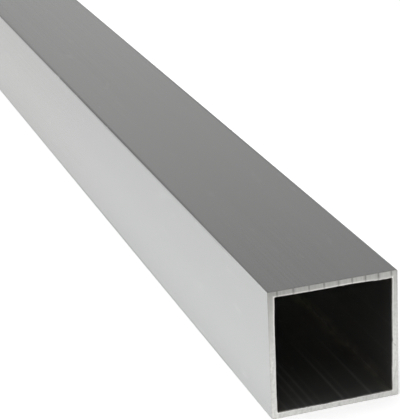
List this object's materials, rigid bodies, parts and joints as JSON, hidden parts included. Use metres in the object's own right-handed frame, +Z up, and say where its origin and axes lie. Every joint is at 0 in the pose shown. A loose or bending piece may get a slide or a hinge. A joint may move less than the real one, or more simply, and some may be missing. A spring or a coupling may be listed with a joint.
{
  "type": "square metal tube",
  "caption": "Extruded aluminium square tube, thin walled and open right through, with nearly sharp corners and square sawn, deburred ends.",
  "frame": {"origin": "middle of the bottom face, halfway along the tube, on the floor that it rests on", "axes": "+X along the tube towards one sawn end, +Y across it, +Z up out of the top face"},
  "size_m": [1, 0.04, 0.04],
  "materials": {
    "aluminium_skin": "satin extruded skin with fine lines along the length, saw marked at both ends"
  },
  "bodies": {
    "root": {"square_tube": "aluminium_skin"}
  },
  "joints": []
}
